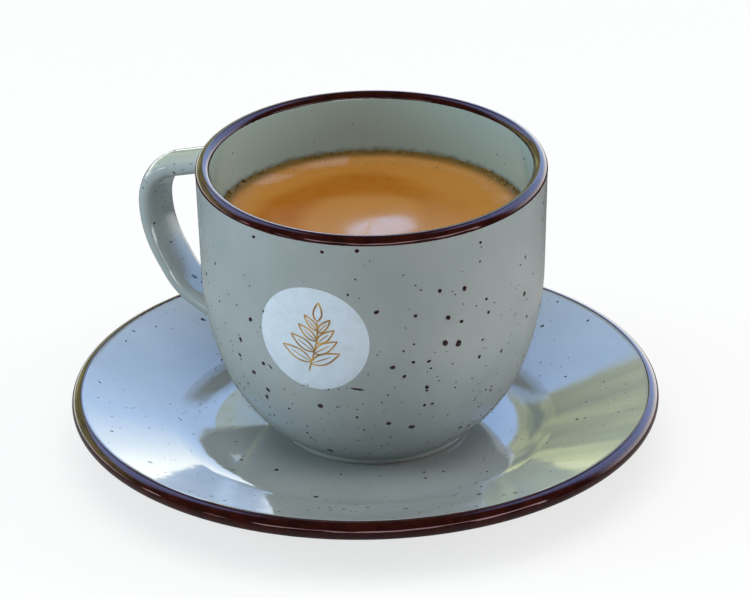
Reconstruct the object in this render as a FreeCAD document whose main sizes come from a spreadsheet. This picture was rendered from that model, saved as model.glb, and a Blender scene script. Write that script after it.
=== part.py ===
import FreeCAD, Part
import math
import os

import Sketcher
from FreeCAD import Placement, Rotation, Vector

# A cup of black coffee on its saucer, in speckled stoneware.
# The saucer stands on its foot ring at height 0, with its centre at the origin. The cup stands on the
# saucer's flat well, a little off centre, and its handle points along -X. Millimetres, +Z up.
# Four pieces: saucer, cup (with its handle, one fired piece), coffee, and the crema that floats on it.

os.makedirs("parts", exist_ok=True)
doc = FreeCAD.newDocument("coffee_cup")

# alias, value, what it is
SIZES = [
    ("saucer_radius", 74.6, "outside radius of the saucer"),
    ("saucer_rim_height", 16.9, "height of the top of the saucer's rim"),
    ("saucer_edge_radius", 2.4, "radius of the saucer's rounded edge, half its thickness"),
    ("well_height", 7.0, "height of the flat well that the cup stands on"),
    ("well_margin", 4.95, "how far inside the cup's belly the flat part of the well ends"),
    ("well_curve_radius", 30.0, "radius of the hollow curve between well and flange"),
    ("saucer_foot_radius", 44.0, "outside radius of the saucer's foot ring"),
    ("saucer_foot_width", 4.0, "width of the saucer's foot ring"),
    ("saucer_foot_height", 2.5, "hollow under the saucer, inside its foot ring"),
    ("foot_rounding", 0.8, "rounding of the edges that the foot rings stand on"),
    ("cup_off_centre_x", 1.99, "how far the cup stands from the saucer's centre, along X"),
    ("cup_off_centre_y", 1.45, "the same along Y"),
    ("handle_bearing", 180.0, "direction that the handle points to, in degrees from +X"),
    ("cup_height", 73.2, "height of the cup from its foot to the top of its lip"),
    ("lip_outer_radius", 44.2, "outside radius of the lip"),
    ("lip_rounding", 1.8, "radius of the rounded lip, half its thickness"),
    ("belly_radius", 43.35, "outside radius where the wall starts to turn in"),
    ("belly_height", 44.6, "height of that place above the cup's foot"),
    ("side_curve_radius", 76.0, "radius of the gentle curve below the belly"),
    ("bowl_start_height", 20.2, "height where the gentle curve meets the bowl's curve"),
    ("cup_wall", 4.5, "thickness of the wall at the belly"),
    ("cup_floor_height", 6.0, "height of the cup's inner floor above its foot"),
    ("cup_foot_radius", 24.0, "outside radius of the cup's foot ring"),
    ("cup_foot_width", 3.5, "width of the cup's foot ring"),
    ("cup_foot_height", 1.4, "height of the cup's foot ring"),
    ("handle_reach", 69.2, "distance from the cup's axis to the outermost point of the handle's centre line"),
    ("handle_side_height", 45.5, "height of that outermost point"),
    ("handle_arm_slope", 20.0, "fall of the handle's upper arm away from the cup, in degrees"),
    ("handle_shoulder_radius", 12.5, "radius of the handle's upper bend"),
    ("handle_side_radius", 25.0, "radius of the handle's long side"),
    ("handle_lean", 36.0, "lean of the handle's straight run from upright, in degrees"),
    ("handle_heel_height", 27.3, "height where the handle turns in towards the cup"),
    ("handle_heel_radius", 17.0, "radius of that turn"),
    ("handle_root_radius", 23.0, "distance from the axis of the handle's lower end, hidden in the wall"),
    ("handle_root_height", 10.5, "height of the handle's lower end"),
    ("handle_width", 11.2, "width of the handle's strap"),
    ("handle_thickness", 5.8, "thickness of the handle's strap"),
    ("handle_edge_radius", 2.3, "radius of the strap's rounded edges"),
    ("handle_edge_drop", 0.4, "how far those edges lie towards the fingers"),
    ("handle_blend", 2.0, "fillet between handle and cup"),
    ("coffee_level", 57.0, "height of the drink's surface above the cup's foot"),
    ("crema_thickness", 3.0, "thickness of the foam that floats on the coffee"),
    ("meniscus_height", 0.7, "how far the foam climbs at the wall"),
    ("fill_gap", 0.02, "clearance between the drink and the cup"),
]

sheet = doc.addObject("Spreadsheet::Sheet", "sizes")
for row, (alias, value, note) in enumerate(SIZES, start=1):
    sheet.set("A%d" % row, note)
    sheet.set("B%d" % row, str(value))
    sheet.setAlias("B%d" % row, alias)
doc.recompute()


def origin_plane(body, role):
    return next(item for item in body.Origin.OriginFeatures if item.Role == role)


def new_sketch(body, name, role="YZ_Plane"):
    sketch = body.newObject("Sketcher::SketchObject", name)
    sketch.AttachmentSupport = (origin_plane(body, role), [""])
    sketch.MapMode = "FlatFace"
    return sketch


class Pen:
    # Draws a chain of lines and arcs in a sketch, corner by corner. Places and radii are expressions on
    # the sheet. A place that is held binds the corner to them. One that isn't held only starts the
    # solver, and tangency settles it.

    def __init__(self, sketch, across, up):
        self.sketch = sketch
        self.start = (across, up)
        self.here = self.place(across, up)
        self.first = None
        self.last = None

    def amount(self, text):
        return float(self.sketch.evalExpression(text))

    def place(self, across, up):
        return Vector(self.amount(across), self.amount(up), 0)

    def bind(self, text, kind, *where):
        constraint = Sketcher.Constraint(kind, *where, self.amount(text))
        index = self.sketch.addConstraint(constraint)
        self.sketch.setExpression("Constraints[%d]" % index, text)

    def hold(self, corner, across=None, up=None):
        # A corner at 0 lies on the sketch's own axis: -2 is its upright axis, -1 the level one.
        for text, kind, axis in ((across, "DistanceX", -2), (up, "DistanceY", -1)):
            if text == "0":
                self.sketch.addConstraint(Sketcher.Constraint("PointOnObject", *corner, axis))
            elif text is not None:
                self.bind(text, kind, -1, 1, *corner)

    def hold_end(self, across, up, held):
        if "x" in held:
            self.hold(self.last, across=across)
        if "y" in held:
            self.hold(self.last, up=up)

    def join(self, geometry, begin, end, smooth):
        piece = self.sketch.addGeometry(geometry, False)
        if self.last is None:
            self.first = (piece, begin)
        else:
            kind = "Tangent" if smooth else "Coincident"
            self.sketch.addConstraint(Sketcher.Constraint(kind, *self.last, piece, begin))
        self.last = (piece, end)
        return piece

    def line(self, across, up, held="xy", smooth=False):
        there = self.place(across, up)
        piece = self.join(Part.LineSegment(self.here, there), 1, 2, smooth)
        self.hold_end(across, up, held)
        self.here = there
        return piece

    def arc(self, across, up, radius, left=True, held="", smooth=True, hold_radius=True):
        # A left arc turns anticlockwise. Its centre lies to the left of the way from corner to corner.
        there = self.place(across, up)
        chord = there - self.here
        reach = max(self.amount(radius), chord.Length / 2 * 1.001)
        side = Vector(-chord.y, chord.x, 0).normalize() * (1 if left else -1)
        centre = (self.here + there) / 2 + side * math.sqrt(reach**2 - chord.Length**2 / 4)
        begin, end = (self.here, there) if left else (there, self.here)
        angles = [math.atan2(spot.y - centre.y, spot.x - centre.x) for spot in (begin, end)]
        circle = Part.Circle(centre, Vector(0, 0, 1), reach)
        vertices = (1, 2) if left else (2, 1)
        piece = self.join(Part.ArcOfCircle(circle, *angles), *vertices, smooth)
        if hold_radius:
            self.bind(radius, "Radius", piece)
        self.hold_end(across, up, held)
        self.here = there
        return piece

    def hold_start(self):
        self.hold(self.first, *self.start)

    def close(self):
        self.hold_start()
        self.sketch.addConstraint(Sketcher.Constraint("Coincident", *self.last, *self.first))


def turn_solid(body, sketch, kind="PartDesign::Revolution"):
    feature = body.newObject(kind, sketch.Name + "_turned")
    feature.Profile = sketch
    feature.ReferenceAxis = (sketch, ["V_Axis"])
    feature.Angle = 360
    doc.recompute()
    return feature


def round_foot(body):
    # Rounds both edges that a foot ring stands on.
    base = body.Tip
    below = [
        "Edge%d" % (number + 1)
        for number, edge in enumerate(body.Shape.Edges)
        if abs(edge.BoundBox.ZMin) < 1e-6 and edge.BoundBox.ZLength < 1e-6 and edge.BoundBox.XLength > 1
    ]
    fillet = body.newObject("PartDesign::Fillet", "foot_edges")
    fillet.Base = (base, below)
    fillet.setExpression("Radius", "sizes.foot_rounding")
    doc.recompute()


# The saucer: a flat well, a hollow curve up to a straight flange, a rounded edge and a foot ring.
def make_saucer():
    body = doc.addObject("PartDesign::Body", "saucer")
    sketch = new_sketch(body, "saucer_section")
    foot_inner = "sizes.saucer_foot_radius - sizes.saucer_foot_width"
    well_across = "(sizes.belly_radius - sizes.well_margin)"
    edge_across = "sizes.saucer_radius - sizes.saucer_edge_radius"
    edge_up = "sizes.saucer_rim_height - sizes.saucer_edge_radius"
    pen = Pen(sketch, "0", "sizes.saucer_foot_height")
    pen.line(foot_inner, "sizes.saucer_foot_height")
    pen.line(foot_inner, "0")
    pen.line("sizes.saucer_foot_radius", "0")
    pen.line("sizes.saucer_foot_radius", "sizes.saucer_foot_height", held="x")
    underside = pen.line(edge_across, "sizes.saucer_rim_height - 2 * sizes.saucer_edge_radius", held="")
    edge = pen.arc(edge_across, "sizes.saucer_rim_height", "sizes.saucer_edge_radius")
    pen.hold((edge, 3), edge_across, edge_up)
    flange_width = "(%s - %s)" % (edge_across, well_across)
    flange_rise = "(%s - sizes.well_height)" % edge_up
    # A narrow flange takes a smaller curve: at 0.5 of this room nothing straight would be left of it.
    room = "(%s ^ 2 + %s ^ 2) / (%s + sizes.saucer_edge_radius)" % (flange_width, flange_rise, flange_rise)
    curve_radius = "min(sizes.well_curve_radius; 0.42 * %s)" % room
    curve_out = well_across + " + 0.33 * " + curve_radius
    curve_up = "sizes.well_height + 0.06 * " + curve_radius
    flange = pen.line(curve_out, curve_up, held="", smooth=True)
    sketch.addConstraint(Sketcher.Constraint("Parallel", underside, flange))
    pen.arc(well_across, "sizes.well_height", curve_radius, left=False, held="xy")
    pen.line("0", "sizes.well_height", smooth=True)
    pen.line("0", "sizes.saucer_foot_height", held="")
    pen.close()
    turn_solid(body, sketch)
    round_foot(body)
    return body


LIP_ACROSS = "sizes.lip_outer_radius - sizes.lip_rounding"
LIP_UP = "sizes.cup_height - sizes.lip_rounding"


# Where the straight wall above the belly runs smoothly into the lip's circle. side is 1 outside, -1 inside.
def wall_meets_lip(belly_across, lip_radius, side):
    run = "(%s - (%s))" % (LIP_ACROSS, belly_across)
    rise = "(%s - sizes.belly_height)" % LIP_UP
    aside = "asin((%s) / sqrt(%s ^ 2 + %s ^ 2))" % (lip_radius, run, rise)
    lean = "atan2(%s; %s) + %d * %s" % (run, rise, side, aside)
    across = "%s + %d * (%s) * cos(%s)" % (LIP_ACROSS, side, lip_radius, lean)
    up = "%s - %d * (%s) * sin(%s)" % (LIP_UP, side, lip_radius, lean)
    return across, up


# The cup's outside: a foot ring, a round bowl, a gentle side, a straight wall and the outer half of the lip.
def outer_section(body):
    sketch = new_sketch(body, "cup_outside")
    foot_inner = "sizes.cup_foot_radius - sizes.cup_foot_width"
    pen = Pen(sketch, "0", "sizes.cup_foot_height")
    pen.line(foot_inner, "sizes.cup_foot_height")
    pen.line(foot_inner, "0")
    pen.line("sizes.cup_foot_radius", "0")
    pen.line("sizes.cup_foot_radius", "sizes.cup_foot_height")
    pen.arc("sizes.belly_radius * 0.88", "sizes.bowl_start_height", "sizes.lip_outer_radius",
            held="y", smooth=False, hold_radius=False)
    pen.arc("sizes.belly_radius", "sizes.belly_height", "sizes.side_curve_radius", held="xy")
    pen.line(*wall_meets_lip("sizes.belly_radius", "sizes.lip_rounding", 1), smooth=True)
    lip = pen.arc(LIP_ACROSS, "sizes.cup_height", "sizes.lip_rounding",
                  held="x", smooth=False, hold_radius=False)
    pen.hold((lip, 3), LIP_ACROSS, LIP_UP)
    pen.line("0", "sizes.cup_height")
    pen.line("0", "sizes.cup_foot_height", held="")
    pen.close()
    return sketch


# The cup's inside, up to the inner half of the lip and a little above it. gap keeps a filling clear.
def inner_section(body, gap="0"):
    sketch = new_sketch(body, body.Name + "_inside")
    grown = "" if gap == "0" else " + " + gap
    floor = "sizes.cup_floor_height" + grown
    lip_radius = "sizes.lip_rounding" + grown
    above = "sizes.cup_height + sizes.lip_rounding"
    pen = Pen(sketch, "0", floor)
    pen.line("sizes.belly_radius * 0.25", floor, held="y")
    pen.arc("sizes.belly_radius * 0.78", "sizes.bowl_start_height", "sizes.belly_radius * 0.57",
            held="y", hold_radius=False)
    belly_across = "sizes.belly_radius - sizes.cup_wall" + grown.replace("+", "-")
    pen.arc(belly_across, "sizes.belly_height", "sizes.side_curve_radius - sizes.cup_wall", held="xy")
    pen.line(*wall_meets_lip(belly_across, lip_radius, -1), smooth=True)
    lip = pen.arc(LIP_ACROSS, "sizes.cup_height" + grown, lip_radius, left=False,
                  held="x", smooth=False, hold_radius=False)
    pen.hold((lip, 3), LIP_ACROSS, LIP_UP)
    pen.line(LIP_ACROSS, above)
    pen.line("0", above)
    pen.line("0", floor, held="")
    pen.close()
    return sketch


# The handle starts inside the cup, where the hollow of the cup later trims it.
ARM_ACROSS = "sizes.belly_radius - 2 * sizes.cup_wall"
ARM_SLOPE = "sizes.handle_arm_slope * 1 deg"
SHOULDER_ACROSS = "sizes.handle_reach - sizes.handle_shoulder_radius"
ARM_END_ACROSS = "(%s + sizes.handle_shoulder_radius * sin(%s))" % (SHOULDER_ACROSS, ARM_SLOPE)
ARM_END_UP = "(sizes.handle_side_height + sizes.handle_shoulder_radius * cos(%s))" % ARM_SLOPE
ARM_UP = "%s + (%s - (%s)) * tan(%s)" % (ARM_END_UP, ARM_END_ACROSS, ARM_ACROSS, ARM_SLOPE)


# The handle's centre line: a falling upper arm, a shoulder, a long side, a leaning run, a turned-in heel.
def handle_path(body):
    sketch = new_sketch(body, "handle_path", "XZ_Plane")
    lean = "sizes.handle_lean * 1 deg"
    side_end_across = "sizes.handle_reach - sizes.handle_side_radius * (1 - cos(%s))" % lean
    side_end_up = "sizes.handle_side_height - sizes.handle_side_radius * sin(%s)" % lean
    heel_across = "%s - (%s - sizes.handle_heel_height) * tan(%s)" % (side_end_across, side_end_up, lean)
    pen = Pen(sketch, ARM_ACROSS, ARM_UP)
    pen.line(ARM_END_ACROSS, ARM_END_UP, held="")
    pen.hold_start()
    shoulder = pen.arc("sizes.handle_reach", "sizes.handle_side_height", "sizes.handle_shoulder_radius",
                       left=False, held="xy")
    pen.hold((shoulder, 3), up="sizes.handle_side_height")
    pen.arc(side_end_across, side_end_up, "sizes.handle_side_radius", left=False, held="y")
    pen.line(heel_across, "sizes.handle_heel_height", held="y", smooth=True)
    pen.arc("%s - 0.5 * sizes.handle_heel_radius" % heel_across,
            "sizes.handle_heel_height - 0.4 * sizes.handle_heel_radius",
            "sizes.handle_heel_radius", left=False)
    pen.line("sizes.handle_root_radius", "sizes.handle_root_height", smooth=True)
    return sketch


# The strap's section, square to the upper arm: domed outside, nearly flat inside, with round edges.
def handle_section(body):
    sketch = new_sketch(body, "handle_section")
    sketch.AttachmentOffset = Placement(Vector(0, 0, 0), Rotation(Vector(1, 0, 0), 1))
    sketch.setExpression("AttachmentOffset.Base.y", ARM_UP)
    sketch.setExpression("AttachmentOffset.Base.z", ARM_ACROSS)
    sketch.setExpression("AttachmentOffset.Rotation.Angle", ARM_SLOPE)
    doc.recompute()
    edge_across = "sizes.handle_width / 2 - sizes.handle_edge_radius"
    top = "sizes.handle_thickness / 2"
    bottom = "-sizes.handle_thickness / 2"
    side = "sizes.handle_width * 0.4"
    lower_side = "sizes.handle_width * 0.32"
    side_up = "sizes.handle_thickness * 0.15"
    lower_side_up = "-sizes.handle_thickness * 0.4"
    dome = "sizes.handle_width * 0.63"
    palm = "sizes.handle_width * 1.6"
    pen = Pen(sketch, "0", top)
    domes = [pen.arc("-" + side, side_up, dome, smooth=False, hold_radius=False)]
    edges = [pen.arc("-" + lower_side, lower_side_up, "sizes.handle_edge_radius")]
    domes.append(pen.arc("0", bottom, palm, held="xy", hold_radius=False))
    pen.arc(lower_side, lower_side_up, palm, hold_radius=False)
    edges.append(pen.arc(side, side_up, "sizes.handle_edge_radius"))
    domes.append(pen.arc("0", top, dome, hold_radius=False))
    pen.close()
    for piece in domes:
        pen.hold((piece, 3), across="0")
    pen.hold((edges[0], 3), "-(%s)" % edge_across, "-sizes.handle_edge_drop")
    pen.hold((edges[1], 3), edge_across, "-sizes.handle_edge_drop")
    return sketch


# Fillets the curves where the handle grows out of the wall.
def blend_handle(body):
    base = body.Tip
    seams = [
        "Edge%d" % (number + 1)
        for number, edge in enumerate(body.Shape.Edges)
        if edge.Curve.TypeId == "Part::GeomBSplineCurve"
    ]
    fillet = body.newObject("PartDesign::Fillet", "handle_blend")
    fillet.Base = (base, seams)
    fillet.setExpression("Radius", "sizes.handle_blend")
    doc.recompute()


# Stands a body on the saucer's well, where the cup stands.
def stand_in_well(body):
    body.Placement = Placement(Vector(0, 0, 0), Rotation(Vector(0, 0, 1), 90))
    body.setExpression("Placement.Rotation.Angle", "sizes.handle_bearing * 1 deg")
    body.setExpression("Placement.Base.x", "sizes.cup_off_centre_x * 1 mm")
    body.setExpression("Placement.Base.y", "sizes.cup_off_centre_y * 1 mm")
    body.setExpression("Placement.Base.z", "sizes.well_height * 1 mm")
    doc.recompute()


def make_cup():
    body = doc.addObject("PartDesign::Body", "cup")
    turn_solid(body, outer_section(body))
    round_foot(body)
    path = handle_path(body)
    section = handle_section(body)
    doc.recompute()
    handle = body.newObject("PartDesign::AdditivePipe", "handle")
    handle.Profile = section
    handle.Spine = path
    doc.recompute()
    blend_handle(body)
    turn_solid(body, inner_section(body), "PartDesign::Groove")
    stand_in_well(body)
    return body


ABOVE_LIP = "sizes.cup_height + 2 * sizes.lip_rounding"
PAST_WALL = "1.2 * max(sizes.belly_radius; sizes.lip_outer_radius)"
CREMA_BOTTOM = "sizes.coffee_level - sizes.crema_thickness"


# Takes away everything from one height to another, out past the wall.
def cut_band(body, name, low, high):
    sketch = new_sketch(body, name)
    pen = Pen(sketch, "0", low)
    pen.line(PAST_WALL, low)
    pen.line(PAST_WALL, high)
    pen.line("0", high)
    pen.line("0", low, held="")
    pen.close()
    turn_solid(body, sketch, "PartDesign::Groove")


def make_coffee():
    body = doc.addObject("PartDesign::Body", "coffee")
    turn_solid(body, inner_section(body, "sizes.fill_gap"))
    cut_band(body, "above_coffee", CREMA_BOTTOM, ABOVE_LIP)
    stand_in_well(body)
    return body


# The foam: a flat layer whose surface climbs a little at the wall.
def make_crema():
    body = doc.addObject("PartDesign::Body", "crema")
    turn_solid(body, inner_section(body, "sizes.fill_gap"))
    cut_band(body, "below_crema", "sizes.cup_floor_height", CREMA_BOTTOM)
    sketch = new_sketch(body, "above_crema")
    climb_across = "sizes.belly_radius - sizes.cup_wall"
    climb_up = "sizes.coffee_level + sizes.meniscus_height"
    pen = Pen(sketch, "0", "sizes.coffee_level")
    pen.line(climb_across + " - 1.5 * sizes.meniscus_height", "sizes.coffee_level")
    pen.arc(climb_across + " + sizes.meniscus_height", climb_up, "3.6 * sizes.meniscus_height", held="xy",
            hold_radius=False)
    pen.line(PAST_WALL, climb_up)
    pen.line(PAST_WALL, ABOVE_LIP)
    pen.line("0", ABOVE_LIP)
    pen.line("0", "sizes.coffee_level", held="")
    pen.close()
    turn_solid(body, sketch, "PartDesign::Groove")
    stand_in_well(body)
    return body


pieces = [make_saucer(), make_cup(), make_coffee(), make_crema()]
doc.recompute()

for item in doc.Objects:
    if "Invalid" in item.State or "Error" in item.State:
        raise RuntimeError("%s failed: %s" % (item.Label, item.State))
    if item.TypeId == "Sketcher::SketchObject" and not item.FullyConstrained:
        raise RuntimeError("%s isn't fully constrained" % item.Label)

for body in pieces:
    shape = body.Shape
    if shape.isNull() or not shape.isValid() or len(shape.Solids) != 1:
        raise RuntimeError("%s isn't one sound solid" % body.Label)

for body in pieces:
    body.Shape.exportStep("parts/%s.step" % body.Label)
    print("%s: %.1f cubic centimetres" % (body.Label, body.Shape.Volume / 1000))
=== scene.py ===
import math
import random

import bmesh
import bpy
from mathutils import Matrix, Vector, noise
from mathutils.bvhtree import BVHTree


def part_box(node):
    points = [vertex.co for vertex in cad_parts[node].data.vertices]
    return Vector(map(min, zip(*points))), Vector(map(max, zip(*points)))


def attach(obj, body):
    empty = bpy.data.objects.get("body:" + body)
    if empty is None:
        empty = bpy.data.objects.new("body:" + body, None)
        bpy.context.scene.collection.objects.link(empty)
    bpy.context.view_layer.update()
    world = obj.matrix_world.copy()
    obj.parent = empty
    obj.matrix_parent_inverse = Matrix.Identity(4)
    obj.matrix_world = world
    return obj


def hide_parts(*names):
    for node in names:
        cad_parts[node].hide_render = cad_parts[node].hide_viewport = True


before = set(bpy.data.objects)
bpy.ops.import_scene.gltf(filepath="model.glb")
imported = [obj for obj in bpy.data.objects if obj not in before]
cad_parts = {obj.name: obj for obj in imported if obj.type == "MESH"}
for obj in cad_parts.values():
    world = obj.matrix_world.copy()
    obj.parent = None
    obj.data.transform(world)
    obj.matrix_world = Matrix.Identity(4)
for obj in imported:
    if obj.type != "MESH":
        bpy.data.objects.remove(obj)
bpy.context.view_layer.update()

mm = 0.001
upward = Vector((0, 0, 1))


def hexColour(text):
    channels = [int(text[i:i + 2], 16) / 255 for i in (1, 3, 5)]
    return (*(c / 12.92 if c <= 0.04045 else ((c + 0.055) / 1.055) ** 2.4 for c in channels), 1.0)


def outwards(bearing):
    return Vector((math.cos(bearing), math.sin(bearing), 0))


def newMaterial(name):
    material = bpy.data.materials.new(name)
    material.use_nodes = True
    material.node_tree.nodes.clear()
    return material, material.node_tree


def addNode(tree, kind, inputs=None, stops=None, **settings):
    node = tree.nodes.new("ShaderNode" + kind)
    for name, value in settings.items():
        setattr(node, name, value)
    for name, value in (inputs or {}).items():
        if isinstance(value, bpy.types.NodeSocket):
            tree.links.new(value, node.inputs[name])
        else:
            node.inputs[name].default_value = value
    for index, (spot, shade) in enumerate(stops or []):
        element = node.color_ramp.elements[index] if index < 2 else node.color_ramp.elements.new(spot)
        element.position, element.color = spot, hexColour(shade)
    return node


def surfaceTree(name):
    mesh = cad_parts[name].data
    return BVHTree.FromPolygons([v.co.copy() for v in mesh.vertices], [tuple(p.vertices) for p in mesh.polygons])


def meshPiece(name, build, material):
    build.normal_update()
    mesh = bpy.data.meshes.new(name)
    build.to_mesh(mesh)
    build.free()
    piece = bpy.data.objects.new(name, mesh)
    bpy.context.scene.collection.objects.link(piece)
    mesh.materials.append(material)
    mesh.polygons.foreach_set("use_smooth", [True] * len(mesh.polygons))
    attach(piece, "root")
    return piece


def addFan(build, middle, rows):
    # closes rings of corners into one skin around a middle point
    before = None
    for row in rows:
        for index, corner in enumerate(row):
            after = (index + 1) % len(row)
            if before is None:
                build.faces.new((middle, corner, row[after]))
            else:
                build.faces.new((before[index], corner, row[after], before[after]))
        before = row


def paintNode(name, material):
    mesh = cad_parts[name].data
    mesh.materials.clear()
    mesh.materials.append(material)


saucerLow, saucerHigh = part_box("saucer")
cupLow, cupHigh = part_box("cup")
cremaLow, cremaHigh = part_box("crema")
cupAxis = Vector(((cremaLow.x + cremaHigh.x) / 2, (cremaLow.y + cremaHigh.y) / 2, 0))
cremaRadius = (cremaHigh.x - cremaLow.x) / 2
lipRadius = cupHigh.x - cupAxis.x
cupSurface = surfaceTree("cup")
saucerSurface = surfaceTree("saucer")
print("frame read")


def sampled(low, high, step, measure):
    # a smoothed table of a turned surface, so that what lies on it doesn't follow the facets of the frame
    rough = [measure(low + step * i) for i in range(int((high - low) / step) + 1)]
    even = [sum(rough[max(0, i - 1):i + 2]) / len(rough[max(0, i - 1):i + 2]) for i in range(len(rough))]
    even[0], even[-1] = rough[0], rough[-1]

    def read(spot):
        place = min(max((spot - low) / step, 0.0), len(even) - 1.001)
        index = int(place)
        slope = (even[index + 1] - even[index]) / step
        return even[index] + (spot - low - index * step) * slope, slope
    return read


survey = {
    "step": 1 * mm,
    "aboveFoot": 2.5 * mm,  # the cup's wall is read from here
    "underLip": 2 * mm,  # to here
    "wellRadius": 27 * mm,  # the saucer's face is read from here
    "insideEdge": 3 * mm,  # to here
    "farOff": 0.1,
}
freeWays = [outwards(math.radians(turn)) for turn in range(-80, 81, 2)]  # the side of the cup away from its handle


def outerRadius(height):
    hits = [cupSurface.ray_cast(cupAxis + way * survey["farOff"] + upward * height, -way)[0] for way in freeWays]
    return max((hit - cupAxis).xy.length for hit in hits)


def innerRadius(height):
    hits = [cupSurface.ray_cast(cupAxis + upward * height, way)[0] for way in freeWays]
    return max((hit - cupAxis).xy.length for hit in hits)


def saucerHeight(radius):
    return min(saucerSurface.ray_cast(way * radius + upward * survey["farOff"], -upward)[0].z for way in freeWays)


wallTop = cupHigh.z - survey["underLip"]
outerWall = sampled(cupLow.z + survey["aboveFoot"], wallTop, survey["step"], outerRadius)
innerWall = sampled(cremaLow.z, wallTop, survey["step"], innerRadius)
saucerFace = sampled(survey["wellRadius"], saucerHigh.x - survey["insideEdge"], survey["step"], saucerHeight)


def onWall(bearing, height):
    # each of these four gives the map of a small patch: a distance across, up and off it to a place on the surface
    radius, slope = outerWall(height)
    fall = 1 / math.hypot(1, slope)

    def place(across, along, lift):
        turn = bearing + across / radius
        up = height + along * fall
        reach, lean = outerWall(up)
        way = outwards(turn)
        return cupAxis + way * reach + upward * up + (way - upward * lean).normalized() * lift
    return place


def onInside(bearing, height):
    def place(across, along, lift):
        reach = innerWall(height + along)[0]
        return cupAxis + outwards(bearing - across / reach) * (reach - lift) + upward * (height + along)
    return place


def onSaucer(bearing, radius):
    fall = 1 / math.hypot(1, saucerFace(radius)[1])

    def place(across, along, lift):
        turn = bearing + across / radius
        out = radius + along * fall
        high, lean = saucerFace(out)
        way = outwards(turn)
        return way * out + upward * high + (upward - way * lean).normalized() * lift
    return place


def onFacet(centre, normal):
    side = normal.cross(upward).normalized()
    up = side.cross(normal)

    def place(across, along, lift):
        spot, facing = cupSurface.find_nearest(centre + side * across + up * along)[:2]
        return spot + facing * lift
    return place


glaze = {
    "base": "#8f9796",
    "pale": "#999f9e",
    "inside": "#94a9a5",  # painted light: a paler, bluer tone on the inner wall that stands in for the sky light falling into the cup
    "cloudSize": 24 * mm,
    "dust": "#5b5a4c",
    "dustSpacing": 1.9 * mm,
    "dustGrain": 0.085,  # radius of the largest grain, as a share of the spacing
    "film": "#5f5330",  # what the drink leaves on the wall just above its edge
    "filmHeight": 1.5 * mm,
    "filmRagged": 1.2 * mm,
    "lipHalf": 2.5 * mm,  # the inside begins this far within the lip
    "insideDepth": 5 * mm,  # and its tone reaches this far below the film
    "bareClay": "#b29c80",
    "bareHeight": 0.25 * mm,  # the foot rings are wiped clean of glaze up to here
    "bareRagged": 0.4 * mm,
    "waveSize": 7 * mm,
    "waveDepth": 0.03 * mm,
    "gloss": 0.06,
    "bareGloss": 0.75,
}


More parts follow.
